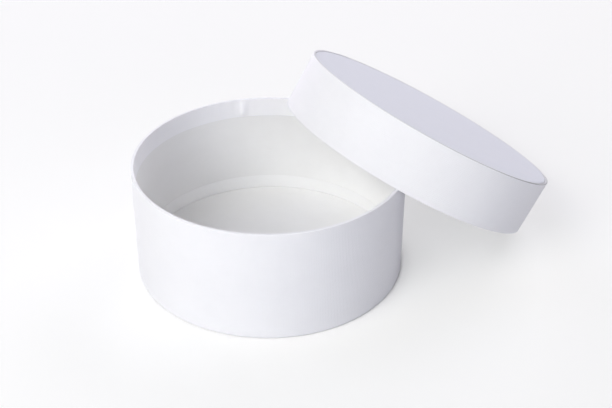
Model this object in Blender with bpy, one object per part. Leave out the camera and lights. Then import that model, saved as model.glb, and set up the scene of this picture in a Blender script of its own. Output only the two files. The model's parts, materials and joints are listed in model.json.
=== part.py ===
"""A round keepsake box of paper-covered board, with its lid taken off and leaning on the rim.

The box stands on the XY plane, centred on the Z axis. Its lid leans towards +X: the lid's
open edge lies across the box's rim at two places, and its lowest point stands beside the box.
All lengths are in metres.
"""

import math
from types import SimpleNamespace

import bmesh
import bpy
from mathutils import Matrix, Vector

# Outside sizes, over the cover paper
BASE_RADIUS = 0.1000
BASE_HEIGHT = 0.0860
LID_HEIGHT = 0.0430

# Board and paper, as bought
WALL_BOARD = 0.0012
DISC_BOARD = 0.0015
COVER_PAPER = 0.00015
LINING_PAPER = 0.00015
STRIP_PAPER = 0.00015

# Clearances: the glue line between two layers, a disc in its ring, and the lid over the box
GLUE_GAP = 0.00025
DISC_FIT = 0.0004
LID_FIT = 0.0004

# Cover paper: how far it turns over each edge, and how its two ends lap
RIM_TURN_IN = 0.0150
FOOT_TURN_UNDER = 0.0140
TOP_TURN_OVER = 0.0050
LAP_LENGTH = 0.0110
LAP_EASE = 0.0030
CREASE_RADIUS = 0.0003

# Lid top: the depth of the flat panel inside its raised lip
LIP_DEPTH = 0.0007

# Foot paper: how far its edge stays inside the box's outside wall
FOOT_PAPER_INSET = 0.0050

# Gummed strips that hold the discs to the walls: the leg up the wall and the leg on the disc
STRIP_UPRIGHT = 0.0120
STRIP_FOOT = 0.0090

# Turns: the two resting places from the lean direction, and where the cover papers lap
LEAN_CONTACT_TURN = math.radians(51.4)
BASE_LAP_TURN = math.radians(70.2)
LID_LAP_TURN = math.radians(101.0)

# Finish of each stock: linear colour and roughness
BOARD_LOOK = {"colour": (0.36, 0.34, 0.30), "roughness": 0.95}
COVER_LOOK = {"colour": (0.86, 0.86, 0.89), "roughness": 0.75}
LINING_LOOK = {"colour": (0.74, 0.74, 0.75), "roughness": 0.80}
STRIP_LOOK = {"colour": (0.80, 0.80, 0.82), "roughness": 0.80}
PANEL_LOOK = {"colour": (0.78, 0.78, 0.86), "roughness": 0.60}

# Facets
RING_STEPS = 64
FOLD_STEPS = 2
CREASE_STEPS = 1
SMOOTH_TURN = math.radians(35)

# Paper folds round a board edge at the same distance as it lies on the board's faces
FOLD_RADIUS = COVER_PAPER + GLUE_GAP

# Through a wall: cover paper, board, lining and the cover paper turned in over the lining
WALL_STACK = COVER_PAPER + GLUE_GAP + WALL_BOARD + GLUE_GAP + LINING_PAPER + GLUE_GAP + COVER_PAPER
LID_RADIUS = BASE_RADIUS + LID_FIT + WALL_STACK


def wall_layers(outer):
    """Radii of the layers of a covered wall whose cover paper has this outer radius."""
    board_out = outer - COVER_PAPER - GLUE_GAP
    board_in = board_out - WALL_BOARD
    lining_out = board_in - GLUE_GAP
    lining_in = lining_out - LINING_PAPER
    return SimpleNamespace(
        outer=outer,
        board_out=board_out,
        board_in=board_in,
        disc=board_in - GLUE_GAP,
        lining_out=lining_out,
        lining_in=lining_in,
        inner=outer - WALL_STACK,
        lip_in=board_in - GLUE_GAP - COVER_PAPER,
    )


def base_levels():
    """Heights of the layers of the box, from its foot up."""
    foot_top = LINING_PAPER
    cover_under = foot_top + GLUE_GAP + COVER_PAPER
    board_low = cover_under + COVER_PAPER + GLUE_GAP
    board_top = board_low + DISC_BOARD
    strip_low = board_top + GLUE_GAP
    strip_top = strip_low + STRIP_PAPER
    return SimpleNamespace(
        cover_under=cover_under,
        board_low=board_low,
        board_top=board_top,
        strip_low=strip_low,
        strip_top=strip_top,
        floor_low=strip_top + GLUE_GAP,
        strip_end=board_top + STRIP_UPRIGHT,
        wall_top=BASE_HEIGHT - FOLD_RADIUS,
    )


def lid_levels():
    """Heights of the layers of the lid, measured from its open edge up to its lip."""
    panel_low = LID_HEIGHT - LIP_DEPTH - LINING_PAPER
    cover_over = panel_low - GLUE_GAP - COVER_PAPER
    board_top = cover_over - COVER_PAPER - GLUE_GAP
    board_low = board_top - DISC_BOARD
    strip_top = board_low - GLUE_GAP
    strip_low = strip_top - STRIP_PAPER
    return SimpleNamespace(
        panel_low=panel_low,
        cover_over=cover_over,
        board_low=board_low,
        strip_top=strip_top,
        strip_low=strip_low,
        ceiling_low=strip_low - GLUE_GAP - LINING_PAPER,
        strip_end=board_low - STRIP_UPRIGHT,
        wall_low=FOLD_RADIUS,
        wall_top=LID_HEIGHT - FOLD_RADIUS,
    )


def lid_lean():
    """Tilt of the leaning lid, and where the middle of its open edge lies.

    The lid's open edge is a ring on a slanted plane. Its inner edge crosses the box's outer
    rim at the two resting places, and its outer edge touches the ground at its lowest point.
    """
    rest_x = BASE_RADIUS * math.cos(LEAN_CONTACT_TURN)
    rest_y = BASE_RADIUS * math.sin(LEAN_CONTACT_TURN)
    inner = LID_RADIUS - WALL_STACK
    chord_up_slope = LID_RADIUS + math.sqrt(inner**2 - rest_y**2)
    tilt = math.asin(BASE_HEIGHT / chord_up_slope)
    ground_x = rest_x + BASE_HEIGHT / math.tan(tilt)
    middle = Vector((ground_x - LID_RADIUS * math.cos(tilt), 0, LID_RADIUS * math.sin(tilt)))
    return tilt, middle


def sheet_line(corners, offset):
    """One face of a folded sheet, as a line `offset` to the left of its show face.

    The sheet runs from corner to corner with the board on its right. A turn to the right
    wraps the board's edge at FOLD_RADIUS, and a turn to the left is pressed into a corner at
    CREASE_RADIUS. Every turn is a right angle.
    """
    first = (corners[1] - corners[0]).normalized()
    points = [corners[0] + Vector((-first.y, first.x)) * offset]
    for before, corner, after in zip(corners, corners[1:], corners[2:]):
        come = (corner - before).normalized()
        go = (after - corner).normalized()
        turns_left = come.cross(go) > 0
        radius = CREASE_RADIUS if turns_left else FOLD_RADIUS
        reach = radius - offset if turns_left else radius + offset
        steps = CREASE_STEPS if turns_left else FOLD_STEPS
        centre = corner + (go - come) * radius
        for step in range(steps + 1):
            turn = math.pi / 2 * step / steps
            points.append(centre + (come * math.sin(turn) - go * math.cos(turn)) * reach)
    last = (corners[-1] - corners[-2]).normalized()
    points.append(corners[-1] + Vector((-last.y, last.x)) * offset)
    return points


def sheet_outline(corners, thickness, lift=0):
    """Closed outline of a folded sheet. Its show face stands out by lift where the ends lap."""
    line = [Vector(corner) for corner in corners]
    return sheet_line(line, lift) + sheet_line(line, -thickness)[::-1]


def band_outline(inner, outer, low, high):
    """Rectangle outline of a plain band round the axis."""
    return [Vector(point) for point in ((inner, low), (outer, low), (outer, high), (inner, high))]


def add_object(name, bm, look, parent):
    """A new object from bm, shaded smooth between its sharp edges, with its own material."""
    mesh = bpy.data.meshes.new(name)
    bmesh.ops.recalc_face_normals(bm, faces=bm.faces)
    bm.to_mesh(mesh)
    bm.free()
    mesh.shade_smooth()
    mesh.set_sharp_from_angle(angle=SMOOTH_TURN)
    material = bpy.data.materials.new(name)
    material.use_nodes = True
    shader = material.node_tree.nodes["Principled BSDF"]
    shader.inputs["Base Color"].default_value = (*look["colour"], 1)
    shader.inputs["Roughness"].default_value = look["roughness"]
    shader.inputs["Metallic"].default_value = 0
    mesh.materials.append(material)
    piece = bpy.data.objects.new(name, mesh)
    piece.parent = parent
    bpy.context.scene.collection.objects.link(piece)
    return piece


def turned_ring(name, outline, look, parent=None):
    """A ring spun once round the Z axis from an (r, z) outline."""
    bm = bmesh.new()
    corners = [bm.verts.new((point.x, 0, point.y)) for point in outline]
    edges = [bm.edges.new(pair) for pair in zip(corners, corners[1:] + corners[:1])]
    bmesh.ops.spin(
        bm,
        geom=corners + edges,
        cent=(0, 0, 0),
        axis=(0, 0, 1),
        angle=math.tau,
        steps=RING_STEPS,
        use_merge=True,
    )
    return add_object(name, bm, look, parent)


def flat_disc(name, radius, low, thickness, look, parent=None):
    """A flat round disc: a filled circle, extruded upwards from low."""
    bm = bmesh.new()
    bmesh.ops.create_circle(bm, cap_ends=True, segments=RING_STEPS, radius=radius)
    grown = bmesh.ops.extrude_face_region(bm, geom=bm.faces[:])["geom"]
    top = [item for item in grown if isinstance(item, bmesh.types.BMVert)]
    bmesh.ops.translate(bm, vec=(0, 0, thickness), verts=top)
    disc = add_object(name, bm, look, parent)
    disc.location.z = low
    return disc


def lap_lift(turn, radius):
    """How far the show face stands out at this turn past the start of the lap.

    The end on top rises over the end below within LAP_EASE, lies doubled for LAP_LENGTH and
    stops with its cut edge, one paper high and one paper wide.
    """
    arc = turn % math.tau * radius
    cut = LAP_EASE + LAP_LENGTH
    if arc < LAP_EASE:
        return COVER_PAPER * arc / LAP_EASE
    if arc < cut:
        return COVER_PAPER
    return COVER_PAPER * max(1 - (arc - cut) / COVER_PAPER, 0)


def cover_paper(name, corners, radius, lap_turn, look, parent=None):
    """Cover paper wrapped once round a ring of board, from corner to corner, with its ends lapped.

    One outline stands at every facet of the board below and at the four places where the lap
    begins, is full, starts to drop and has ended. Neighbouring outlines are joined by faces.
    """
    lap_ends = (0, LAP_EASE, LAP_EASE + LAP_LENGTH, LAP_EASE + LAP_LENGTH + COVER_PAPER)
    keys = [(lap_turn + arc / radius) % math.tau for arc in lap_ends]
    even = [math.tau * step / RING_STEPS for step in range(RING_STEPS)]
    clear = [turn for turn in even if min(abs(turn - key) for key in keys) * radius > COVER_PAPER]
    bm = bmesh.new()
    loops = []
    for turn in sorted(clear + keys):
        lift = lap_lift(turn - lap_turn, radius)
        outline = sheet_outline(corners, COVER_PAPER, lift)
        place = Matrix.Rotation(turn, 3, "Z")
        loops.append([bm.verts.new(place @ Vector((point.x, 0, point.y))) for point in outline])
    for loop, other in zip(loops, loops[1:] + loops[:1]):
        for a, b, c, d in zip(loop, other, other[1:] + other[:1], loop[1:] + loop[:1]):
            bm.faces.new((a, b, c, d))
    return add_object(name, bm, look, parent)


def build_base():
    """The open box: a board ring and a bottom disc, covered, lined and joined by a strip."""
    wall = wall_layers(BASE_RADIUS)
    level = base_levels()
    turned_ring(
        "base_wall_board",
        band_outline(wall.board_in, wall.board_out, level.board_low, level.wall_top),
        look=BOARD_LOOK,
    )
    flat_disc(
        "base_bottom_board",
        wall.disc,
        level.board_low,
        DISC_BOARD,
        look=BOARD_LOOK,
    )
    cover_paper(
        "base_cover_paper",
        (
            (wall.inner, BASE_HEIGHT - RIM_TURN_IN),
            (wall.inner, BASE_HEIGHT),
            (wall.outer, BASE_HEIGHT),
            (wall.outer, level.cover_under),
            (wall.outer - FOOT_TURN_UNDER, level.cover_under),
        ),
        wall.outer,
        BASE_LAP_TURN,
        look=COVER_LOOK,
    )
    turned_ring(
        "base_wall_lining",
        band_outline(wall.lining_in, wall.lining_out, level.strip_low, level.wall_top),
        look=LINING_LOOK,
    )
    turned_ring(
        "base_corner_strip",
        sheet_outline(
            (
                (wall.inner - STRIP_FOOT, level.strip_top),
                (wall.inner, level.strip_top),
                (wall.inner, level.strip_end),
            ),
            STRIP_PAPER,
        ),
        look=STRIP_LOOK,
    )
    flat_disc(
        "base_floor_lining",
        wall.inner - DISC_FIT,
        level.floor_low,
        LINING_PAPER,
        look=LINING_LOOK,
    )
    flat_disc(
        "base_foot_paper",
        wall.outer - FOOT_PAPER_INSET,
        0,
        LINING_PAPER,
        look=LINING_LOOK,
    )


def build_lid():
    """The lid, built upright round its own axis and leant on the box by its parent empty."""
    wall = wall_layers(LID_RADIUS)
    level = lid_levels()
    tilt, middle = lid_lean()
    place = bpy.data.objects.new("lid_place", None)
    place.location = middle
    place.rotation_euler = (0, tilt, 0)
    bpy.context.scene.collection.objects.link(place)
    turned_ring(
        "lid_wall_board",
        band_outline(wall.board_in, wall.board_out, level.wall_low, level.wall_top),
        look=BOARD_LOOK,
        parent=place,
    )
    flat_disc(
        "lid_top_board",
        wall.disc,
        level.board_low,
        DISC_BOARD,
        look=BOARD_LOOK,
        parent=place,
    )
    cover_paper(
        "lid_cover_paper",
        (
            (wall.lip_in - TOP_TURN_OVER, level.cover_over),
            (wall.lip_in, level.cover_over),
            (wall.lip_in, LID_HEIGHT),
            (wall.outer, LID_HEIGHT),
            (wall.outer, 0),
            (wall.inner, 0),
            (wall.inner, RIM_TURN_IN),
        ),
        wall.outer,
        LID_LAP_TURN,
        look=COVER_LOOK,
        parent=place,
    )
    turned_ring(
        "lid_wall_lining",
        band_outline(wall.lining_in, wall.lining_out, level.wall_low, level.strip_top),
        look=LINING_LOOK,
        parent=place,
    )
    turned_ring(
        "lid_corner_strip",
        sheet_outline(
            (
                (wall.inner, level.strip_end),
                (wall.inner, level.strip_low),
                (wall.inner - STRIP_FOOT, level.strip_low),
            ),
            STRIP_PAPER,
        ),
        look=STRIP_LOOK,
        parent=place,
    )
    flat_disc(
        "lid_ceiling_lining",
        wall.inner - DISC_FIT,
        level.ceiling_low,
        LINING_PAPER,
        look=LINING_LOOK,
        parent=place,
    )
    flat_disc(
        "lid_top_paper",
        wall.lip_in - DISC_FIT,
        level.panel_low,
        LINING_PAPER,
        look=PANEL_LOOK,
        parent=place,
    )
    return tilt, middle


def build():
    """Clear the scene, build both parts and print how the lid leans."""
    for old in list(bpy.data.objects):
        bpy.data.objects.remove(old)
    build_base()
    tilt, middle = build_lid()
    bpy.context.view_layer.update()
    print(f"lid tilt {math.degrees(tilt):.2f} degrees, middle of its open edge at {middle}")


build()
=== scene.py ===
# %% [markdown]
# # A round keepsake box, step by step
#
# The real thing is a rigid paper box: rings and discs of grey board, covered outside with an
# embossed white paper and lined inside with a smooth one. Its lid has been taken off and leans on
# the rim. This lesson dresses a measured model of it. That model has every piece at its real size
# and place, so each step here reads its sizes from it and makes a finer surface in its stead:
# round instead of faceted, with soft folds, lapped ends, and the small pleats of turned-in paper.

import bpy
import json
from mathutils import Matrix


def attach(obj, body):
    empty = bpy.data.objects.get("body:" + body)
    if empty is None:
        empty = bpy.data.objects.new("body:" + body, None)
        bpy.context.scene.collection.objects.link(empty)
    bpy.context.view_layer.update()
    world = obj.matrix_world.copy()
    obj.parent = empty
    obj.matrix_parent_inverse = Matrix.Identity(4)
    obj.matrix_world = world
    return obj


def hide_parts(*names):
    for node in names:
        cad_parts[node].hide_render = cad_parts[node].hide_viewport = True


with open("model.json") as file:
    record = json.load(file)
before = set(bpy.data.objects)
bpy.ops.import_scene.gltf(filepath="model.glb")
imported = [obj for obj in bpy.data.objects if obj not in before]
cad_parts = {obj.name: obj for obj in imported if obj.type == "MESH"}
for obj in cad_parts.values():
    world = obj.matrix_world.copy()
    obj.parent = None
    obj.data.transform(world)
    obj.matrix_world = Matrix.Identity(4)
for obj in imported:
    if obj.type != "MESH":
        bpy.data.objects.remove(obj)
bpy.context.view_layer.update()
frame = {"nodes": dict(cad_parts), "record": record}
print("pieces in the measured model:", ", ".join(sorted(frame["nodes"])))

# %% Modules and constants
import json
import math
from types import SimpleNamespace

import bpy
import numpy as np
from mathutils import Matrix, Vector

TAU = math.tau

# %% [markdown]
# ## Two axes
#
# Everything here is turned, so a point is easiest to write as a radius, a turn and a height.
# The box stands on its own axis. The lid's axis leans, and it starts in the middle of the lower
# edge of the lid's ring of board. Both come from the model: a mount gives a point on the axis and
# its direction, and the lowest corner of the ring along that direction says where it starts.
# One could also type the lean in, but then a change to the model would be missed here.

# %% Axes of the box and the lid
MOUNTS = {mount["name"]: mount for mount in frame["record"]["mounts"]}


def axes_along(middle, up):
    """An origin, and unit directions as rows: x in the lean's plane, y across it, z along up."""
    z = np.array(up, float)
    y = np.array((0.0, 1.0, 0.0))
    return np.array(middle, float), np.array((np.cross(y, z), y, z))


def round_size(node, axes):
    """Least and greatest radius and height of a node: radius = sqrt(x^2 + y^2) round the axis."""
    mesh = frame["nodes"][node].data
    corners = np.empty(len(mesh.vertices) * 3, np.float32)
    mesh.vertices.foreach_get("co", corners)
    origin, directions = axes
    local = (corners.reshape(-1, 3) - origin) @ directions.T
    radius = np.hypot(local[:, 0], local[:, 1])
    height = local[:, 2]
    return SimpleNamespace(near=radius.min(), far=radius.max(), low=height.min(), high=height.max())


BASE_AXES = axes_along(MOUNTS["base_foot"]["pos_m"], -np.array(MOUNTS["base_foot"]["axis"], float))
top_axes = axes_along(MOUNTS["lid_top"]["pos_m"], MOUNTS["lid_top"]["axis"])
ring_start = round_size("lid_wall_board", top_axes).low
LID_AXES = axes_along(top_axes[0] + top_axes[1][2] * ring_start, MOUNTS["lid_top"]["axis"])
print("the lid's axis starts at", LID_AXES[0].round(4), "and points along", LID_AXES[1][2].round(4))

# %% [markdown]
# ## The walls
#
# A wall is a stack: cover paper, a glue line, board, a glue line, lining, and near the rim the
# cover paper again, turned in over the lining. The board and the lining are measured, and the
# show faces of the cover paper lie one glue line and one paper outside and inside of them.

# %% Sizes of the covered walls
PAPER = 0.00015
GLUE = 0.00025
FOLD = PAPER + GLUE


def covered_wall(part, axes):
    """Show-face radii and heights of a wall: its board and lining, plus or minus one fold."""
    board = round_size(part + "_wall_board", axes)
    lining = round_size(part + "_wall_lining", axes)
    return SimpleNamespace(
        outer=board.far + FOLD,
        lip=board.near - FOLD,
        inner=lining.near - FOLD,
        low=board.low - FOLD,
        high=board.high + FOLD,
    )


BASE = covered_wall("base", BASE_AXES)
LID = covered_wall("lid", LID_AXES)
for wall in (BASE, LID):
    thickness = wall.outer - wall.inner
    height = wall.high - wall.low
    print(f"radius {wall.outer:.4f}, wall {thickness:.4f}, height {height:.4f} m")

# %% [markdown]
# ## A folded sheet as a line
#
# Cut the box through its axis and each paper shows as a thin folded line. Along that line the
# sheet has straight runs, and right-angled turns: round a board's edge to the right, or pressed
# into a corner to the left. The line is the show face, its left-hand normals point out of the
# paper, and the distance walked along it later places the emboss and the pleats. Round an edge
# the turn's radius is one fold, and in a corner it is a tighter crease.

# %% The line of a folded sheet
CREASE = 0.0003
TURN_STEPS = 5


def folded_line(corners, steps):
    """Points, normals and distances along the show face of a folded sheet.

    A run between two turns is cut into equal parts of about the step given for it. A turn is a
    quarter circle, centre + radius (come sin t - go cos t), whose centre lies one radius back
    along the run that comes and one radius on along the run that goes.
    """
    corners = [np.array(corner, float) for corner in corners]
    ways = [b - a for a, b in zip(corners, corners[1:])]
    ways = [way / np.linalg.norm(way) for way in ways]
    points = []
    normals = []
    start = corners[0]
    for number, (way, step) in enumerate(zip(ways, steps)):
        last = number == len(ways) - 1
        side = np.array((-way[1], way[0]))
        come = way
        go = way if last else ways[number + 1]
        left = come[0] * go[1] - come[1] * go[0] > 0
        radius = 0 if last else (CREASE if left else FOLD)
        end = corners[number + 1] - way * radius
        parts = max(1, round(np.linalg.norm(end - start) / step))
        share = np.linspace(0, 1, parts, endpoint=False)[:, None]
        points.append(start + (end - start) * share)
        normals.append(np.repeat(side[None], parts, 0))
        if last:
            points.append(end[None])
            normals.append(side[None])
            break
        angle = np.linspace(0, TAU / 4, TURN_STEPS, endpoint=False)[:, None]
        spoke = come * np.sin(angle) - go * np.cos(angle)
        points.append(end + go * radius + spoke * radius)
        normals.append(-spoke if left else spoke)
        start = corners[number + 1] + go * radius
    points = np.concatenate(points)
    walked = np.concatenate(((0,), np.linalg.norm(np.diff(points, axis=0), axis=1).cumsum()))
    return SimpleNamespace(points=points, normals=np.concatenate(normals), walked=walked)


sample = folded_line(((0.01, 0), (0.01, 0.02), (0.03, 0.02)), (0.001, 0.001))
print("a sheet folded once has", len(sample.points), "points over", sample.walked[-1].round(4), "m")

# %% [markdown]
# ## From a grid to a mesh
#
# A sheet's surface is a grid: one column for each turn round the axis, one row for each point of
# the outline. Blender could spin or screw an outline too, but a grid of numbers lets every point
# be pushed by a formula of its turn and its place along the sheet, and it carries a map in metres
# for the paper's grain. The grid closes on itself round the axis. A band also closes across, and
# a disc ends in a pole on the axis above and below.

# %% A mesh from a grid of points
SHARP_TURN = math.radians(40)


def signed_volume(corners):
    """Volume of a closed grid: the sum of (a x b) . c / 6 over two triangles to each face."""
    a, b, c, d = corners
    first = np.einsum("ij,ij->", np.cross(a, b), c)
    second = np.einsum("ij,ij->", np.cross(a, c), d)
    return (first + second) / 6


def grid_mesh(name, points, chart, poles=False):
    """A closed mesh from points[turn, row], with chart[turn, row] as its map in metres.

    The chart has one more turn than the points, and on a band one more row, so that the map
    runs on to the seam instead of jumping back. Faces go along the row, then round the axis.
    """
    turns, rows = points.shape[:2]
    index = np.arange(turns * rows).reshape(turns, rows)
    if poles:
        index[:, 0] = index[0, 0]
        index[:, -1] = index[0, -1]
    used, index = np.unique(index, return_inverse=True)
    index = index.reshape(turns, rows)
    across = rows - 1 if poles else rows
    beside = np.roll(index, -1, 0)
    corners = (index, np.roll(index, -1, 1), np.roll(beside, -1, 1), beside)
    faces = np.stack([corner[:, :across] for corner in corners], -1).reshape(-1, 4)
    here = chart[:-1]
    next_turn = chart[1:]
    after = slice(1, across + 1)
    places = (here[:, :across], here[:, after], next_turn[:, after], next_turn[:, :across])
    places = np.stack(places, 2).reshape(-1, 4, 2)
    first_pole = faces[:, 0] == faces[:, 3]
    last_pole = faces[:, 1] == faces[:, 2]
    plain = ~(first_pole | last_pole)
    kinds = ((plain, (0, 1, 2, 3)), (first_pole, (0, 1, 2)), (last_pole, (0, 1, 3)))
    polygons = sum((faces[mask][:, pick].tolist() for mask, pick in kinds), [])
    spread = np.concatenate([places[mask][:, pick].reshape(-1, 2) for mask, pick in kinds])
    flat = points.reshape(-1, 3)[used]
    mesh = bpy.data.meshes.new(name)
    mesh.from_pydata(flat, [], polygons)
    mesh.uv_layers.new(name="Sheet").data.foreach_set("uv", spread.astype(np.float32).ravel())
    mesh.shade_smooth()
    mesh.set_sharp_from_angle(angle=SHARP_TURN)
    volume = signed_volume([flat[faces[:, corner]] for corner in range(4)])
    print(f"{name}: {len(polygons)} faces, {volume * 1e6:.2f} cm3 of material")
    return mesh


# %% [markdown]
# ## From a line to a sheet
#
# The grid of a sheet is its line carried round the axis. Each point may be raised on the show
# face alone, which thickens the paper where its ends lap, pushed together with its back face,
# which makes a pleat or a bulge, and slid along the sheet, which makes a cut edge wander.
# Seen from above, columns stand every millimetre or so, with a few more at the lap.

# %% Sheets and discs
COLUMNS = 512


def place(radius, height, turn, axes):
    """World points: origin + x r cos t + y r sin t + z h, for whole arrays of r, h and t."""
    origin, directions = axes
    local = np.stack((radius * np.cos(turn), radius * np.sin(turn), height + 0 * turn), -1)
    return origin + local @ directions


def columns_round(radius, extra=()):
    """Distances round a sheet at which its columns stand, from its cut end on."""
    even = np.linspace(0, TAU * radius, COLUMNS, endpoint=False)
    return np.unique(np.concatenate((even, np.array(extra, float))))


def sheet_mesh(name, line, axes, radius, start_turn, arcs, raised=0, pushed=0, slid=0):
    """A folded sheet carried round the axis, with its thickness, as a closed mesh.

    At each turn the show face is line + normal (pushed + raised) + way slid, and the back
    face is line + normal (pushed - PAPER) + way slid. The outline goes up one and back the other.
    """
    ways = np.stack((line.normals[:, 1], -line.normals[:, 0]), -1)
    shape = (len(arcs), len(line.points))
    moves = [np.broadcast_to(move, shape)[..., None] for move in (raised, pushed, slid)]
    raised, pushed, slid = moves
    moved = line.points + ways * slid
    show = moved + line.normals * (pushed + raised)
    back = moved + line.normals * (pushed - PAPER)
    outline = np.concatenate((show, back[:, ::-1]), 1)
    turn = (start_turn + arcs / radius)[:, None]
    points = place(outline[..., 0], outline[..., 1], turn, axes)
    along = np.append(arcs, TAU * radius)
    down = np.concatenate((line.walked, line.walked[::-1], line.walked[:1]))
    chart = np.stack(np.meshgrid(along, down, indexing="ij"), -1)
    return grid_mesh(name, points, chart)


def disc_turns():
    """Turns of a disc's columns, one to each row of its heights."""
    return np.linspace(0, TAU, COLUMNS, endpoint=False)[:, None]


def disc_mesh(name, radii, tops, axes, faces_up=True):
    """A flat sheet from the axis outwards: radii[turn, ring], with its show face at tops.

    Its outline runs out along the upper side and back along the lower, and its map is x and y.
    """
    turns = disc_turns()
    shape = (COLUMNS, np.shape(radii)[-1])
    radii = np.broadcast_to(radii, shape)
    tops = np.broadcast_to(tops, shape)
    reach = np.concatenate((radii, radii[:, ::-1]), 1)
    upper = tops if faces_up else tops + PAPER
    lower = tops - PAPER if faces_up else tops
    height = np.concatenate((upper, lower[:, ::-1]), 1)
    points = place(reach, height, turns, axes)
    flat = np.stack((reach * np.cos(turns), reach * np.sin(turns)), -1)
    chart = np.concatenate((flat, flat[:1]))
    return grid_mesh(name, points, chart, poles=True)


print("columns round each sheet:", COLUMNS)

# %% [markdown]
# ## From a mesh to a piece
#
# Paper isn't equally white all over. An image could say where, but an attribute, which is one
# number to each point of the mesh, needs no file and moves with the sheet. The finished mesh
# becomes an object that moves with the box or with the lid, and takes its measured node's place.

# %% Attributes and pieces


def set_attribute(mesh, name, values):
    """Write values[turn, row] of a sheet's line, or values[turn, 1], on both its faces alike."""
    rows = len(mesh.vertices) // (2 * len(values))
    values = np.broadcast_to(values, (len(values), rows))
    both = np.concatenate((values, values[:, ::-1]), 1).astype(np.float32)
    mesh.attributes.new(name, "FLOAT", "POINT").data.foreach_set("value", both.ravel())


def add_piece(mesh, body, node, material):
    """Make an object of the mesh. It moves with the body and stands for the model's own node."""
    piece = bpy.data.objects.new(mesh.name, mesh)
    bpy.context.scene.collection.objects.link(piece)
    mesh.materials.append(material)
    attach(piece, body)
    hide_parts(node)


# %% [markdown]
# ## How paper lies on board
#
# Three things make the box look like paper. The ends of the cover paper lap, so its face stands
# one paper higher for a centimetre and then drops at a cut edge. Paper that is turned in goes
# from a larger circle to a smaller one, and its spare length gathers in small pleats that grow
# towards the cut edge. That edge was cut by hand and isn't quite straight. A cloth simulation
# could find such pleats, but a sum of small bumps is quicker and starts each one where it should.
# They are drawn at random, but from a fixed seed, so that they come out the same each time.

# %% Laps, pleats and cut edges
LAP_EASE = 0.0030
LAP_LENGTH = 0.0110
PLEAT_WIDTHS = (0.0014, 0.0036)
PLEAT_LEAN = 0.004
LEAST_PLEAT = 0.15
LEAST_WAVE = 0.4


def lap_arcs(radius):
    """Distances round the ring where the upper end starts to rise, is full, and stops."""
    end = TAU * radius
    return (end - PAPER - LAP_LENGTH - LAP_EASE, end - PAPER - LAP_LENGTH, end - PAPER)


def lap_rise(arcs, radius):
    """Extra height of the show face: 0, up to one paper over the ease, level, then cut off."""
    rise, full, stop = lap_arcs(radius)
    keys = (0, rise, full, stop, TAU * radius)
    return np.interp(arcs, keys, (0, 0, PAPER, PAPER, 0))[:, None]


def round_gap(arcs, spot, around):
    """Signed distance round the ring from a spot, the short way."""
    return (arcs - spot + around / 2) % around - around / 2


def pleats(arcs, reach, radius, count, height, seed):
    """Sum of bumps height exp(-(gap / width)^2) (1 - reach)^1.5, where reach is 0 at the cut edge.

    Each pleat leans a little, so its middle shifts with the distance from the cut edge.
    """
    rng = np.random.default_rng(seed)
    around = TAU * radius
    spots = rng.uniform(0, around, count)
    widths = rng.uniform(*PLEAT_WIDTHS, count)
    heights = height * rng.uniform(LEAST_PLEAT, 1, count) ** 2
    leans = rng.uniform(-PLEAT_LEAN, PLEAT_LEAN, count)
    grown = (1 - np.clip(reach, 0, 1))[None, :, None]
    gap = round_gap(arcs[:, None, None], spots + leans * grown, around)
    return (heights * np.exp(-((gap / widths) ** 2)) * grown**1.5).sum(-1)


def wander(arcs, radius, size, seed, waves=(2, 3, 5, 8, 13)):
    """A slow random wave round the ring: the mean of sines with whole numbers of waves."""
    rng = np.random.default_rng(seed)
    phases = rng.uniform(0, TAU, len(waves))
    shares = rng.uniform(LEAST_WAVE, 1, len(waves))
    angle = arcs[:, None] / radius * np.array(waves) + phases
    return size * (shares * np.sin(angle)).sum(-1, keepdims=True) / shares.sum()


def cut_edge_slide(arcs, from_cut, radius, size, fade, seed):
    """A wander along the sheet times (1 - s)^2, s = distance from the cut edge / fade, up to 1."""
    near_edge = np.clip(1 - from_cut / fade, 0, 1) ** 2
    return near_edge * wander(arcs, radius, size, seed)


print(f"the lap covers {LAP_LENGTH:.3f} m of {TAU * BASE.outer:.3f} m round the box")

# %% [markdown]
# ## Nodes and colours
#
# Materials are small trees of nodes. One function adds any node with its settings and links, and
# one turns a colour as it is written on a web page into the linear numbers that Blender needs.

# %% Helpers for materials


def linear(code):
    """Linear red, green, blue and 1 from an sRGB hex code.

    Each is c / 12.92 up to 0.04045, and above that ((c + 0.055) / 1.055)^2.4.
    """
    shares = [int(code[start:start + 2], 16) / 255 for start in (1, 3, 5)]
    light = [c / 12.92 if c <= 0.04045 else ((c + 0.055) / 1.055) ** 2.4 for c in shares]
    return (*light, 1)


def add_node(tree, kind, links=None, sockets=None, **settings):
    """A node of a kind, with its settings, the values of its sockets and the links into it."""
    node = tree.nodes.new("ShaderNode" + kind)
    for setting, value in settings.items():
        setattr(node, setting, value)
    for socket, value in (sockets or {}).items():
        node.inputs[socket].default_value = value
    for socket, source in (links or {}).items():
        tree.links.new(source, node.inputs[socket])
    return node


def new_material(name):
    """A material with an empty tree but for its shader, and the tree."""
    material = bpy.data.materials.new(name)
    material.use_nodes = True
    tree = material.node_tree
    return material, tree, tree.nodes["Principled BSDF"]


# A Mix node has its colours at these places among its sockets
A_COLOUR = 6
B_COLOUR = 7
MIXED_COLOUR = 2


def waves_of(pitch):
    """Scale at which Blender's band waves repeat at a pitch: at scale 1 it is TAU / 20 m."""
    return TAU / 20 / pitch


def cells_of(size):
    """Scale at which a cell of Blender's noise has about this size: at scale 1 it is 1 m."""
    return 1 / size


print("white as written and as light:", linear("#FFFFFF"))

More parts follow.
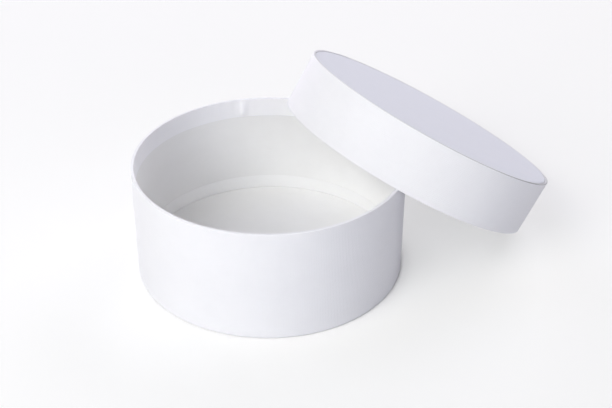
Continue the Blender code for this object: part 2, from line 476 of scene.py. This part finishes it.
# %% [markdown]
# ## Cover paper
#
# The outside is a white paper with a fine linen emboss: a steel roller has pressed crossed
# threads into it. To the eye it is matt, a little cooler than the lining, and it shows its grain
# only where light rakes along it. The threads are two bands of waves across each other on the
# sheet's own map, so they turn with the wall and fold over the rim as on a real sheet. Each band
# is multiplied by a noise stretched along its threads, which gives them the thick and thin places
# of spun linen, because a plain grid of waves would look like graph paper.
# Real threads stand 0.6 mm apart. They are drawn at 1.2 mm, or they would vanish between pixels.
# Each mesh carries an attribute, Tone, by which the colour is multiplied. It paints light and
# shade: painted light makes the turned-in paper whiter, and painted shade darkens the lid and
# most of all the folds of its lip.

# %% Linen-embossed cover paper
THREAD_PITCH = 0.0012
SLUB_WIDTH = 0.0021
SLUB_STRETCH = 0.15
FIBRE_WIDTH = 0.0004
FIBRE_SHARE = 0.2
TINT_CLOUD = 0.026
LINEN_RELIEF = 0.00014
PAPER_IOR = 1.45


def linen_cover_paper():
    """Two crossed bands of waves with thick and thin places, as bump on a plain white times Tone."""
    material, tree, shader = new_material("linen_embossed_cover_paper")
    chart = add_node(tree, "UVMap", uv_map="Sheet").outputs["UV"]
    threads = []
    for direction, stretch in (("X", (1, SLUB_STRETCH, 1)), ("Y", (SLUB_STRETCH, 1, 1))):
        band = add_node(
            tree,
            "TexWave",
            {"Vector": chart},
            {"Scale": waves_of(THREAD_PITCH), "Distortion": 1.6, "Detail": 2, "Detail Scale": 1.5},
            bands_direction=direction,
        )
        along = add_node(tree, "Mapping", {"Vector": chart}, {"Scale": stretch})
        slubs = add_node(
            tree,
            "TexNoise",
            {"Vector": along.outputs["Vector"]},
            {"Scale": cells_of(SLUB_WIDTH), "Detail": 3},
        )
        thread = add_node(
            tree, "Math", {0: band.outputs["Fac"], 1: slubs.outputs["Fac"]}, operation="MULTIPLY"
        )
        threads.append(thread.outputs[0])
    weave = add_node(tree, "Math", {0: threads[0], 1: threads[1]}, operation="MAXIMUM")
    fibres = add_node(
        tree, "TexNoise", {"Vector": chart}, {"Scale": cells_of(FIBRE_WIDTH), "Detail": 2}
    )
    grain = add_node(
        tree,
        "Math",
        {0: fibres.outputs["Fac"], 2: weave.outputs[0]},
        {1: FIBRE_SHARE},
        operation="MULTIPLY_ADD",
    )
    bump = add_node(
        tree, "Bump", {"Height": grain.outputs[0]}, {"Strength": 1, "Distance": LINEN_RELIEF}
    )
    cloud = add_node(
        tree,
        "TexNoise",
        {"Vector": chart},
        {"Scale": cells_of(TINT_CLOUD), "Detail": 4, "Roughness": 0.6},
    )
    shades = {A_COLOUR: linear("#F2F2F6"), B_COLOUR: linear("#F7F7FA")}
    tint = add_node(tree, "Mix", {0: cloud.outputs["Fac"]}, shades, data_type="RGBA")
    # Tone multiplies in painted light on the turned-in paper and painted shade on the lid
    tone = add_node(tree, "Attribute", attribute_name="Tone").outputs["Fac"]
    toned = add_node(
        tree, "VectorMath", {0: tint.outputs[MIXED_COLOUR], "Scale": tone}, operation="SCALE"
    )
    tree.links.new(toned.outputs["Vector"], shader.inputs["Base Color"])
    tree.links.new(bump.outputs["Normal"], shader.inputs["Normal"])
    shader.inputs["Roughness"].default_value = 0.72
    shader.inputs["IOR"].default_value = PAPER_IOR
    return material


COVER_PAPER = linen_cover_paper()
print(COVER_PAPER.name, "with threads", THREAD_PITCH, "m apart")

# %% [markdown]
# ## Lining paper
#
# The inside is lined with a plain uncoated paper. It is smooth and matt, a neutral white, and
# close up its fibres make it faintly cloudy, as paper is against the light. Two noises give that:
# a broad one for the clouds, and a fine one, stretched along the sheet, for the fibres.
# An attribute gives painted shade: it says what share of the colour is lost at each place,
# and a mesh that has no such attribute gives 0 and loses none.

# %% Smooth lining paper
COARSE_FIBRE_WIDTH = 0.00065
FIBRE_STRETCH = 0.35
PAPER_CLOUD = 0.018


def fibrous_paper(name, dark, light, rough, relief):
    """Uncoated paper: a broad noise tints it, and a fine one stretched along the sheet lifts it."""
    material, tree, shader = new_material(name)
    chart = add_node(tree, "UVMap", uv_map="Sheet").outputs["UV"]
    stretched = add_node(tree, "Mapping", {"Vector": chart}, {"Scale": (FIBRE_STRETCH, 1, 1)})
    fibres = add_node(
        tree,
        "TexNoise",
        {"Vector": stretched.outputs["Vector"]},
        {"Scale": cells_of(COARSE_FIBRE_WIDTH), "Detail": 3},
    )
    cloud = add_node(
        tree,
        "TexNoise",
        {"Vector": chart},
        {"Scale": cells_of(PAPER_CLOUD), "Detail": 5, "Roughness": 0.65},
    )
    shades = {A_COLOUR: linear(dark), B_COLOUR: linear(light)}
    tint = add_node(tree, "Mix", {0: cloud.outputs["Fac"]}, shades, data_type="RGBA")
    # Painted shade from a mesh attribute takes its share of the colour away
    painted_shade = add_node(tree, "Attribute", attribute_name="PaintedShade").outputs["Fac"]
    kept = add_node(tree, "Math", {1: painted_shade}, {0: 1}, operation="SUBTRACT")
    painted_shaded_tint = add_node(
        tree,
        "VectorMath",
        {0: tint.outputs[MIXED_COLOUR], "Scale": kept.outputs[0]},
        operation="SCALE",
    )
    bump = add_node(
        tree, "Bump", {"Height": fibres.outputs["Fac"]}, {"Strength": 1, "Distance": relief}
    )
    tree.links.new(painted_shaded_tint.outputs["Vector"], shader.inputs["Base Color"])
    tree.links.new(bump.outputs["Normal"], shader.inputs["Normal"])
    shader.inputs["Roughness"].default_value = rough
    shader.inputs["IOR"].default_value = PAPER_IOR
    return material


LINING_PAPER = fibrous_paper(
    "uncoated_lining_paper", dark="#F1F1F1", light="#F6F6F6", rough=0.82, relief=0.000012
)
print(LINING_PAPER.name)

# %% [markdown]
# ## Gummed strip and panel paper
#
# The strip in the corner is a whiter, harder paper, a little cockled by its own glue. The panel
# on the lid is a smooth coloured paper, a white with a trace of lavender, and slightly silky.
# Both are the same kind of material as the lining with other shades, so one function makes all.

# %% Strip and panel papers
STRIP_PAPER = fibrous_paper(
    "gummed_paper_strip", dark="#F9F9FA", light="#FDFDFD", rough=0.75, relief=0.000020
)
PANEL_PAPER = fibrous_paper(
    "lavender_white_panel_paper", dark="#EFF1FA", light="#F3F5FD", rough=0.62, relief=0.000008
)
print(STRIP_PAPER.name, "and", PANEL_PAPER.name)

# %% [markdown]
# ## Grey board
#
# The rings and discs inside the walls are board of pulped paper: dull, rough, brownish grey and
# flecked with darker fibres. They hardly show, but a model opened at its seams has them, so they
# keep their own shape from the measured model and get only a finish, placed by Object coordinates.

# %% Grey board
PULP_CLOUD = 0.011
FLECK_WIDTH = 0.0007
BOARD_RELIEF = 0.00004


def flecked_grey_board():
    """Grey mixed from two noises: a broad one, and a fine one whose peaks alone make flecks."""
    material, tree, shader = new_material("flecked_grey_board")
    where = add_node(tree, "TexCoord").outputs["Object"]
    cloud = add_node(
        tree, "TexNoise", {"Vector": where}, {"Scale": cells_of(PULP_CLOUD), "Detail": 5}
    )
    fine = add_node(
        tree, "TexNoise", {"Vector": where}, {"Scale": cells_of(FLECK_WIDTH), "Detail": 2}
    )
    flecks = add_node(
        tree,
        "MapRange",
        {"Value": fine.outputs["Fac"]},
        {"From Min": 0.62, "From Max": 0.70, "To Min": 0, "To Max": 0.6},
    )
    shades = {A_COLOUR: linear("#9A9488"), B_COLOUR: linear("#A9A498")}
    pulp = add_node(tree, "Mix", {0: cloud.outputs["Fac"]}, shades, data_type="RGBA")
    specks = add_node(
        tree,
        "Mix",
        {0: flecks.outputs["Result"], A_COLOUR: pulp.outputs[MIXED_COLOUR]},
        {B_COLOUR: linear("#6A6458")},
        data_type="RGBA",
    )
    bump = add_node(
        tree, "Bump", {"Height": fine.outputs["Fac"]}, {"Strength": 1, "Distance": BOARD_RELIEF}
    )
    tree.links.new(specks.outputs[MIXED_COLOUR], shader.inputs["Base Color"])
    tree.links.new(bump.outputs["Normal"], shader.inputs["Normal"])
    shader.inputs["Roughness"].default_value = 0.92
    return material


GREY_BOARD = flecked_grey_board()
BOARDS = ("base_wall_board", "base_bottom_board", "lid_wall_board", "lid_top_board")
for node in BOARDS:
    frame["nodes"][node].material_slots[0].material = GREY_BOARD
print("boards with a finish of their own:", ", ".join(BOARDS))

# %% [markdown]
# ## The box's cover paper
#
# It starts at the cut edge inside, climbs to the rim, folds over the board, runs down the outside
# and turns under the bottom. Three rings could stand for it, but in one sheet the linen runs over
# the rim without a seam. Where it is turned in it has pleats, and a bulge where the doubled ends
# fold over the rim together, which catches the light at the back of the box. Painted light makes
# the turned-in paper whiter, a little more so from one end of the sheet to the other, and a
# painted highlight makes it whitest on the bulge.

# %% Cover paper of the box
RIM_TURN_IN = 0.0150
FOOT_TURN_UNDER = 0.0140
TURN_IN_PRESS = 0.00022
TURN_IN_LEAN = 0.00013
TURN_IN_WANDER = 0.00025
TURN_IN_WANDER_FADE = 0.008
PLEAT_COUNT = 46
PLEAT_HEIGHT = 0.00016
PILLOW = 0.0014
DOUBLED_MIDDLE = 0.0020
DOUBLED_WIDTH = 0.0031
# Painted light on the turned-in paper, from one end of the sheet to the other, and a painted
# highlight where its ends are doubled
TURNED_IN_PAINTED_LIGHT = (1.07, 1.10)
DOUBLED_PAINTED_HIGHLIGHT = 0.03
PLEAT_STEP = 0.00075
FOLD_STEP = 0.0012
WALL_STEP = 0.0030
BASE_CUT_TURN = math.radians(78.3)


def doubled_ends(arcs, radius):
    """1 at the doubled ends of a sheet, 0 away from them: exp(-(gap / width)^2)."""
    gap = round_gap(arcs, TAU * radius - DOUBLED_MIDDLE, TAU * radius)
    return np.exp(-((gap / DOUBLED_WIDTH) ** 2))[:, None]


def inside_painted_light(arcs, radius):
    """Painted light over the lining: from the one to the other of two tones, and a painted highlight
    where doubled.
    """
    along = np.interp(arcs, (0, TAU * radius), TURNED_IN_PAINTED_LIGHT)[:, None]
    return along + DOUBLED_PAINTED_HIGHLIGHT * doubled_ends(arcs, radius)


def turned_in_relief(arcs, from_cut, radius, seed):
    """How far a turned-in edge stands off its even wall, and how far its cut edge wanders.

    It is pressed flat at the cut edge and leans back a little towards the rim. Pleats rise from
    it, and the doubled ends puff up as a pillow: height 4 s (1 - s), where s goes from 0 at the
    cut edge to 1 at the rim.
    """
    share = from_cut / from_cut.max()
    gathered = pleats(arcs, share, radius, PLEAT_COUNT, PLEAT_HEIGHT, seed)
    puffed = PILLOW * doubled_ends(arcs, radius) * 4 * share * (1 - share)
    off = gathered + puffed - TURN_IN_PRESS - TURN_IN_LEAN * share
    slide = cut_edge_slide(
        arcs, from_cut, radius, TURN_IN_WANDER, TURN_IN_WANDER_FADE, seed + 2
    )
    return off, slide


def base_cover():
    """The folded sheet of the box, from its cut edge inside to its cut edge under the bottom."""
    line = folded_line(
        (
            (BASE.inner, BASE.high - RIM_TURN_IN),
            (BASE.inner, BASE.high),
            (BASE.outer, BASE.high),
            (BASE.outer, BASE.low),
            (BASE.outer - FOOT_TURN_UNDER, BASE.low),
        ),
        (PLEAT_STEP, FOLD_STEP, WALL_STEP, WALL_STEP),
    )
    arcs = columns_round(BASE.outer, lap_arcs(BASE.outer))
    inside = line.walked < RIM_TURN_IN
    from_cut = np.minimum(line.walked, RIM_TURN_IN)
    pushed, slid = turned_in_relief(arcs, from_cut, BASE.outer, seed=11)
    mesh = sheet_mesh(
        "base_cover_sheet",
        line,
        BASE_AXES,
        BASE.outer,
        BASE_CUT_TURN,
        arcs,
        raised=lap_rise(arcs, BASE.outer),
        pushed=np.where(inside, pushed, 0),
        slid=np.where(inside, slid, 0),
    )
    # Tone is painted light on the turned-in paper, and 1 outside
    set_attribute(mesh, "Tone", np.where(inside, inside_painted_light(arcs, BASE.outer), 1))
    return mesh


add_piece(base_cover(), "base", "base_cover_paper", COVER_PAPER)

# %% [markdown]
# ## The lining and the corner strip of the box
#
# The lining is a plain band up the wall behind the turned-in edge. The strip is folded along its
# middle and glued half to the wall and half to the bottom, which joins the two. Its upper edge
# is pressed to the wall and wanders a little. A line drawn on the lining could pass for that
# edge from afar, but only a sheet of its own has a shadow and waves that catch the light.
# On the right of the box both papers are a little darker, as painted shade.

# %% Lining and corner strip of the box
STRIP_UPRIGHT = 0.0120
STRIP_FOOT = 0.0090
STRIP_FOOT_STEP = 0.0015
STRIP_UPRIGHT_STEP = 0.0010
STRIP_PRESS = 0.00020
STRIP_WANDER = 0.00022
STRIP_WANDER_FADE = 0.006
COCKLE = 0.00005
STRIP_WAVES = (5, 9, 16, 29, 41)
LINING_WAVES = (7, 11, 17, 23)
LINING_RIPPLE = 60  # radians to each metre up the wall
BASE_STRIP_TURN = math.radians(236)

# Turns in degrees, and the share of the colour that painted shade takes there
STRIP_PAINTED_SHADE = (0, 28, 44, 60, 75, 240, 300, 360), (0.09, 0.10, 0.085, 0.025, 0, 0, 0.09, 0.09)
LINING_PAINTED_SHADE = (12, 28, 45, 60, 75), (0, 0.026, 0.045, 0.01, 0)


def set_painted_shade(mesh, arcs, radius, start_turn, keys):
    """Write the painted shade as an attribute, which runs straight from key to key of the turn."""
    turns = np.degrees(start_turn + arcs / radius) % 360
    set_attribute(mesh, "PaintedShade", np.interp(turns, *keys)[:, None])


def wall_lining(part, wall, axes, seed, painted_shade=None):
    """A band on the inside of a wall, as high as the model's own.

    It stands off the wall by a wander round it times the sine of the way up.
    """
    own = round_size(part + "_wall_lining", axes)
    line = folded_line(((own.near, own.low), (own.near, own.high)), (WALL_STEP,))
    arcs = columns_round(wall.outer)
    around = wander(arcs, wall.outer, COCKLE, seed, waves=LINING_WAVES)
    ripple = around * np.sin(line.walked * LINING_RIPPLE)
    name = part + "_wall_lining_sheet"
    mesh = sheet_mesh(name, line, axes, wall.outer, 0, arcs, pushed=ripple)
    # Painted shade on the lining, where one is given
    if painted_shade:
        set_painted_shade(mesh, arcs, wall.outer, 0, painted_shade)
    return mesh


def base_corner_strip():
    """The strip's show face: out along the bottom and up the wall."""
    own = round_size("base_corner_strip", BASE_AXES)
    low = own.low + PAPER
    corners = ((BASE.inner - STRIP_FOOT, low), (BASE.inner, low), (BASE.inner, own.high))
    line = folded_line(corners, (STRIP_FOOT_STEP, STRIP_UPRIGHT_STEP))
    arcs = columns_round(BASE.outer, lap_arcs(BASE.outer))
    from_cut = line.walked[-1] - line.walked
    off = wander(arcs, BASE.outer, COCKLE, 31, waves=STRIP_WAVES)
    rise = np.clip((line.walked - STRIP_FOOT) / STRIP_UPRIGHT, 0, 1)
    mesh = sheet_mesh(
        "base_corner_strip_sheet",
        line,
        BASE_AXES,
        BASE.outer,
        BASE_STRIP_TURN,
        arcs,
        raised=lap_rise(arcs, BASE.outer),
        pushed=(off + COCKLE - STRIP_PRESS) * rise,
        slid=cut_edge_slide(arcs, from_cut, BASE.outer, STRIP_WANDER, STRIP_WANDER_FADE, 32),
    )
    # Painted shade round the strip, darker on the right of the box
    set_painted_shade(mesh, arcs, BASE.outer, BASE_STRIP_TURN, STRIP_PAINTED_SHADE)
    return mesh


base_lining = wall_lining("base", BASE, BASE_AXES, 21, LINING_PAINTED_SHADE)
add_piece(base_lining, "base", "base_wall_lining", LINING_PAPER)
add_piece(base_corner_strip(), "base", "base_corner_strip", STRIP_PAPER)

# %% [markdown]
# ## Floor and foot
#
# A disc of lining paper covers the bottom and the strip's foot. The foot of the strip shows
# through it as a faint ring, because there the disc lies a fraction of a millimetre higher.
# A bump in the material could draw that ring, but a real step also catches light from the side.
# Another disc under the box hides the turned-under edge, and the box stands on it.

# %% Floor lining and foot paper
DISC_STEP = 0.0035
SHOW_THROUGH = 0.00012
STEP_RINGS = np.linspace(-0.0025, 0, 6)


def disc_radii(radius, keys=()):
    """Radii of a disc's rings, from the axis to its edge, with a few extra where it bends."""
    even = np.linspace(0, radius, round(radius / DISC_STEP) + 1)
    return np.unique(np.concatenate((even, np.array(keys, float))))


def smooth_step(value, start, end):
    """0 before start and 1 after end, and 3 s^2 - 2 s^3 of the share s between them."""
    share = np.clip((value - start) / (end - start), 0, 1)
    return share * share * (3 - 2 * share)


def base_floor_lining():
    """A disc that steps down by SHOW_THROUGH just inside the foot of the strip."""
    own = round_size("base_floor_lining", BASE_AXES)
    steps = BASE.inner - STRIP_FOOT + STEP_RINGS
    radii = disc_radii(own.far, steps)
    tops = own.high - SHOW_THROUGH * (1 - smooth_step(radii, steps[0], steps[-1]))
    return disc_mesh("base_floor_lining_sheet", radii, tops, BASE_AXES)


def base_foot_paper():
    """A flat disc whose show face is the ground side."""
    own = round_size("base_foot_paper", BASE_AXES)
    radii = disc_radii(own.far)
    return disc_mesh("base_foot_paper_sheet", radii, own.low, BASE_AXES, faces_up=False)


add_piece(base_floor_lining(), "base", "base_floor_lining", LINING_PAPER)
add_piece(base_foot_paper(), "base", "base_foot_paper", LINING_PAPER)

# %% [markdown]
# ## The lid's cover paper
#
# On the lid the sheet starts hidden on the top board, climbs the inside of the raised lip, folds
# over it, runs down the skirt, round the open edge and up inside. It is the same sheet as on the
# box with more folds, so the same functions make it. Its ends lap at the back. Along the near
# right of the lip painted shade darkens the two folds, which draws a fine line round the top. All
# of the lid's Tone is a trace darker than the box's, as painted shade.

# %% Cover paper of the lid
LID_TURN_IN = 0.0150
TOP_TURN_OVER = 0.0050
LID_CUT_TURN = math.radians(108.9)
PANEL = round_size("lid_top_paper", LID_AXES)
# The whole lid's colour is made a trace darker, as painted shade
LID_PAINTED_SHADE_FACTOR = 0.972

# Turns in degrees and how strong the painted shade on the lip is there, and its profile over the
# two folds: the inner one by the distance from its start, the outer one by that from its end
LIP_PAINTED_SHADE_ROUND = (195, 230, 285, 310, 345), (0, 0.4, 1, 0.78, 0)
INNER_FOLD_PAINTED_SHADE = np.array((0, 0.0004, 0.0008)), (0, 0.45, 0.05)
OUTER_FOLD_PAINTED_SHADE = np.array((-0.0008, -0.0003, 0)), (0.05, 0.85, 0)
LOOKS_UP = 0.01
LOOKS_OUT = 0.9999


def painted_lip_shade(line, turns):
    """Painted shade on the lip: a profile over its two folds times its strength round the lid.

    The lip starts where the show face first looks up, and ends where it looks straight out.
    """
    start = line.walked[np.argmax(line.normals[:, 1] > LOOKS_UP)]
    end = line.walked[np.argmax(line.normals[:, 0] > LOOKS_OUT)]
    keys = (*(start + INNER_FOLD_PAINTED_SHADE[0]), *(end + OUTER_FOLD_PAINTED_SHADE[0]))
    over_lip = np.interp(line.walked, keys, INNER_FOLD_PAINTED_SHADE[1] + OUTER_FOLD_PAINTED_SHADE[1])
    return np.interp(np.degrees(turns) % 360, *LIP_PAINTED_SHADE_ROUND)[:, None] * over_lip


def lid_cover():
    """The folded sheet of the lid, from under the panel to its cut edge inside the skirt."""
    seat = PANEL.low - GLUE - PAPER
    line = folded_line(
        (
            (LID.lip - TOP_TURN_OVER, seat),
            (LID.lip, seat),
            (LID.lip, LID.high),
            (LID.outer, LID.high),
            (LID.outer, LID.low),
            (LID.inner, LID.low),
            (LID.inner, LID.low + LID_TURN_IN),
        ),
        (WALL_STEP, FOLD_STEP, FOLD_STEP, WALL_STEP, FOLD_STEP, PLEAT_STEP),
    )
    arcs = columns_round(LID.outer, lap_arcs(LID.outer))
    from_cut = line.walked[-1] - line.walked
    inside = from_cut < LID_TURN_IN
    from_cut = np.minimum(from_cut, LID_TURN_IN)
    pushed, slid = turned_in_relief(arcs, from_cut, LID.outer, seed=41)
    mesh = sheet_mesh(
        "lid_cover_sheet",
        line,
        LID_AXES,
        LID.outer,
        LID_CUT_TURN,
        arcs,
        raised=lap_rise(arcs, LID.outer),
        pushed=np.where(inside, pushed, 0),
        slid=np.where(inside, slid, 0),
    )
    # Painted shade darkens the lip's folds, and the whole lid a trace
    shade = painted_lip_shade(line, LID_CUT_TURN + arcs / LID.outer)
    tone = np.where(inside, inside_painted_light(arcs, LID.outer), 1 - shade)
    set_attribute(mesh, "Tone", LID_PAINTED_SHADE_FACTOR * tone)
    return mesh


add_piece(lid_cover(), "lid", "lid_cover_paper", COVER_PAPER)

# %% [markdown]
# ## Inside the lid
#
# The lid is lined as the box is: a band up the skirt, a strip in the corner, and a disc on the
# ceiling. They face down as the lid leans, so light reaches them only from the floor. The box's
# own sheets can't be turned over for it, because the lid is wider and lower.

# %% Lining, strip and ceiling of the lid
LID_STRIP_TURN = math.radians(30)


def lid_corner_strip():
    """The strip's show face: up the skirt and in along the ceiling."""
    own = round_size("lid_corner_strip", LID_AXES)
    high = own.high - PAPER
    corners = ((LID.inner, own.low), (LID.inner, high), (LID.inner - STRIP_FOOT, high))
    line = folded_line(corners, (STRIP_UPRIGHT_STEP, STRIP_FOOT_STEP))
    arcs = columns_round(LID.outer, lap_arcs(LID.outer))
    off = wander(arcs, LID.outer, COCKLE, 51, waves=STRIP_WAVES)
    rise = np.clip(1 - line.walked / STRIP_UPRIGHT, 0, 1)
    return sheet_mesh(
        "lid_corner_strip_sheet",
        line,
        LID_AXES,
        LID.outer,
        LID_STRIP_TURN,
        arcs,
        raised=lap_rise(arcs, LID.outer),
        pushed=(off + COCKLE - STRIP_PRESS) * rise,
        slid=cut_edge_slide(arcs, line.walked, LID.outer, STRIP_WANDER, STRIP_WANDER_FADE, 52),
    )


def lid_ceiling_lining():
    """A disc whose show face looks down into the lid, stepped by the strip's foot above it."""
    own = round_size("lid_ceiling_lining", LID_AXES)
    steps = LID.inner - STRIP_FOOT + STEP_RINGS
    radii = disc_radii(own.far, steps)
    tops = own.low + SHOW_THROUGH * (1 - smooth_step(radii, steps[0], steps[-1]))
    return disc_mesh("lid_ceiling_lining_sheet", radii, tops, LID_AXES, faces_up=False)


lid_lining = wall_lining("lid", LID, LID_AXES, 22)
add_piece(lid_lining, "lid", "lid_wall_lining", LINING_PAPER)
add_piece(lid_corner_strip(), "lid", "lid_corner_strip", STRIP_PAPER)
add_piece(lid_ceiling_lining(), "lid", "lid_ceiling_lining", LINING_PAPER)

# %% [markdown]
# ## The panel on the lid
#
# The panel is a disc laid inside the raised lip by hand, so it is never quite true. Its glue
# holds it a little high, it lies a little off the middle, and it is a twelfth of a degree out of
# level: on one side it comes almost up to the lip, and across from there the lip shades it.
# Its object could be tilted instead, but all objects here stay unturned, so its mesh is.

# %% Panel on the lid
PANEL_LIFT = 0.00045
PANEL_TILT = 0.00015
PANEL_HIGH_TURN = math.radians(330)
PANEL_SHIFT = 0.00025
PANEL_SHIFT_TURN = math.radians(95)


def lid_panel():
    """A disc at the model's height + lift + tilt s cos(turn - high turn).

    Here s = radius / edge radius. Its rings are moved off the middle: radius + shift s
    cos(turn - shift turn).
    """
    radii = disc_radii(PANEL.far)
    share = radii / PANEL.far
    moved = radii + PANEL_SHIFT * share * np.cos(disc_turns() - PANEL_SHIFT_TURN)
    slope = share * np.cos(disc_turns() - PANEL_HIGH_TURN)
    tops = PANEL.high + PANEL_LIFT + PANEL_TILT * slope
    return disc_mesh("lid_top_paper_sheet", moved, tops, LID_AXES)


add_piece(lid_panel(), "lid", "lid_top_paper", PANEL_PAPER)

# %% [markdown]
# ## The floor
#
# The box stands on a plain pale sweep that fills the view. Studio sheets of this kind are lit
# until they are nearly white, and shadows on them stay light. So the camera sees the floor as a
# mixture: part of it glows evenly and part is matt paper, which still carries the box's shadow.
# Close to the box's foot less of it glows, and least in the seam between them, so that the shadow
# there stays deep. Far away the glow takes over, so that the floor runs into the backdrop without
# a line. Light that bounces off the floor onto the box meets plain matt paper alone.

# %% Floor
FLOOR_REACH = 6.0
FLOOR_GLOW = 0.50
GLOW_AT_FOOT = 0.37
GLOW_KEPT_IN_SEAM = 0.2

# Distances from the box's axis between which the glow changes
SEAM_SPAN = (BASE.outer - 0.0005, BASE.outer + 0.0024)
FOOT_SPAN = (BASE.outer, 0.112)
FAR_SPAN = (0.8, 1.5)


def seen_rays(tree):
    """1 for rays from the camera, off a gloss or through glass, and 0 for the light's own."""
    rays = add_node(tree, "LightPath").outputs
    gloss = add_node(
        tree, "Math", {0: rays["Is Camera Ray"], 1: rays["Is Glossy Ray"]}, operation="MAXIMUM"
    )
    every = add_node(
        tree, "Math", {0: gloss.outputs[0], 1: rays["Is Transmission Ray"]}, operation="MAXIMUM"
    )
    return every.outputs[0]


def pale_floor_paper():
    """Matt paper for the light, and for the camera a mixture of glow and matt paper.

    The share that glows is the greater of seam ramp x foot ramp and far ramp, where each ramp
    is a smooth step of the distance from the box's axis.
    """
    material, tree, shader = new_material("pale_matt_floor")
    shader.inputs["Base Color"].default_value = linear("#E9E9EB")
    shader.inputs["Roughness"].default_value = 0.9
    glow = add_node(tree, "Emission", sockets={"Color": linear("#FFFFFF"), "Strength": 1})
    matt = add_node(tree, "BsdfDiffuse", sockets={"Color": linear("#FFFFFF")})
    spot = add_node(tree, "TexCoord").outputs["Object"]
    distance = add_node(tree, "VectorMath", {0: spot}, operation="LENGTH")
    ramps = []
    for (start, end), (low, high) in (
        (SEAM_SPAN, (GLOW_KEPT_IN_SEAM, 1)),
        (FOOT_SPAN, (GLOW_AT_FOOT, FLOOR_GLOW)),
        (FAR_SPAN, (0, 1)),
    ):
        ramp = add_node(
            tree,
            "MapRange",
            {"Value": distance.outputs["Value"]},
            {"From Min": start, "From Max": end, "To Min": low, "To Max": high},
            interpolation_type="SMOOTHSTEP",
        )
        ramps.append(ramp.outputs["Result"])
    near = add_node(tree, "Math", {0: ramps[0], 1: ramps[1]}, operation="MULTIPLY")
    share = add_node(tree, "Math", {0: near.outputs[0], 1: ramps[2]}, operation="MAXIMUM")
    seen = add_node(
        tree, "MixShader", {0: share.outputs[0], 1: matt.outputs[0], 2: glow.outputs[0]}
    )
    either = add_node(
        tree, "MixShader", {0: seen_rays(tree), 1: shader.outputs[0], 2: seen.outputs[0]}
    )
    tree.links.new(either.outputs[0], tree.nodes["Material Output"].inputs["Surface"])
    return material


def floor_square():
    """A large flat square at the height that the box stands on: its unit corners times a reach."""
    mesh = bpy.data.meshes.new("floor")
    corners = np.array([(-1, -1, 0), (1, -1, 0), (1, 1, 0), (-1, 1, 0)]) * FLOOR_REACH
    mesh.from_pydata(corners.tolist(), [], [(0, 1, 2, 3)])
    mesh.materials.append(pale_floor_paper())
    floor = bpy.data.objects.new("floor", mesh)
    bpy.context.scene.collection.objects.link(floor)
    return floor


floor_square()
print("floor:", 2 * FLOOR_REACH, "m across")

# %% [markdown]
# ## Light
#
# The photograph has soft studio light. A large softbox at the left and in front makes the lit
# side, another low behind the box brightens the floor and the inside of the front wall, and
# weaker ones fill the right. Each is an area lamp: the larger it is, the softer its shadow. A
# picture of a studio could light the box too, but a lamp can be moved and tinted by itself.
# None of them shows in the picture itself.

# %% Softboxes and backdrop
AIM = Vector((0.05, 0.0, 0.05))
SOFTBOX_SIZE = 1.1
SOFTBOX_DISTANCE = 2.0


def direction_to(azimuth, elevation):
    """(sin a cos e, -cos a cos e, sin e): at azimuth 0 it points to the front, along -Y."""
    a = math.radians(azimuth)
    e = math.radians(elevation)
    return Vector((math.sin(a) * math.cos(e), -math.cos(a) * math.cos(e), math.sin(e)))


def softbox(name, azimuth, elevation, power, colour):
    """Add a square lamp at AIM + direction x distance, turned to face AIM."""
    away = direction_to(azimuth, elevation)
    lamp = bpy.data.lights.new(name, "AREA")
    lamp.size = SOFTBOX_SIZE
    lamp.energy = power
    lamp.color = linear(colour)[:3]
    holder = bpy.data.objects.new(name, lamp)
    holder.location = AIM + away * SOFTBOX_DISTANCE
    holder.rotation_euler = away.to_track_quat("Z", "Y").to_euler()
    holder.visible_camera = False
    bpy.context.scene.collection.objects.link(holder)


softbox("key_front_left", azimuth=-60, elevation=35, power=12.5, colour="#F1FCFF")
softbox("key_left", azimuth=-75, elevation=37, power=17.0, colour="#FFF8F0")
softbox("high_front_left", azimuth=-60, elevation=60, power=2.3, colour="#FFF6F1")
softbox("low_behind", azimuth=180, elevation=12, power=19.1, colour="#FAF5FF")
softbox("high_behind_left", azimuth=-150, elevation=60, power=5.1, colour="#DBE2FF")
softbox("behind_right", azimuth=120, elevation=35, power=13.9, colour="#FDF9FF")
softbox("high_front_right", azimuth=30, elevation=60, power=4.6, colour="#FFFDFE")
softbox("low_front", azimuth=0, elevation=12, power=7.6, colour="#F1F1FF")

world = bpy.context.scene.world or bpy.data.worlds.new("backdrop")
bpy.context.scene.world = world
world.use_nodes = True
backdrop = world.node_tree.nodes["Background"]
backdrop.inputs["Color"].default_value = linear("#FFFFFF")
world.node_tree.links.new(seen_rays(world.node_tree), backdrop.inputs["Strength"])
print("lamps:", [item.name for item in bpy.data.lights])

# %% [markdown]
# ## Camera
#
# The camera stands where the photographer's did: in front of the box and a little to its left,
# looking down by somewhat more than a third of a right angle. It is given as angles, a distance
# and a point to look at, which are easier to read than a matrix. Its lens is given in pixels of
# a picture 612 wide, and in millimetres it is that share of the sensor's width.

# %% Camera
PICTURE_WIDTH = 612
FOCAL_IN_PIXELS = 1096.4
SENSOR_WIDTH = 36
CAMERA_AZIMUTH = -27.07
CAMERA_ELEVATION = 32.19
CAMERA_DISTANCE = 0.8186
CAMERA_ROLL = math.radians(0.414)
CAMERA_TARGET = Vector((0.0242, -0.0122, 0.0474))

camera_data = bpy.data.cameras.new("camera")
camera_data.sensor_width = SENSOR_WIDTH
camera_data.lens = SENSOR_WIDTH * FOCAL_IN_PIXELS / PICTURE_WIDTH
camera = bpy.data.objects.new("camera", camera_data)
bpy.context.scene.collection.objects.link(camera)
back = direction_to(CAMERA_AZIMUTH, CAMERA_ELEVATION)
level = direction_to(CAMERA_AZIMUTH + 90, 0)
upright = Matrix((level, back.cross(level), back)).transposed()
camera.location = CAMERA_TARGET + back * CAMERA_DISTANCE
camera.rotation_euler = (upright @ Matrix.Rotation(CAMERA_ROLL, 3, "Z")).to_euler()
bpy.context.scene.camera = camera
bpy.context.scene.view_settings.view_transform = "Standard"
print(f"lens {camera_data.lens:.1f} mm at {CAMERA_DISTANCE:.3f} m")
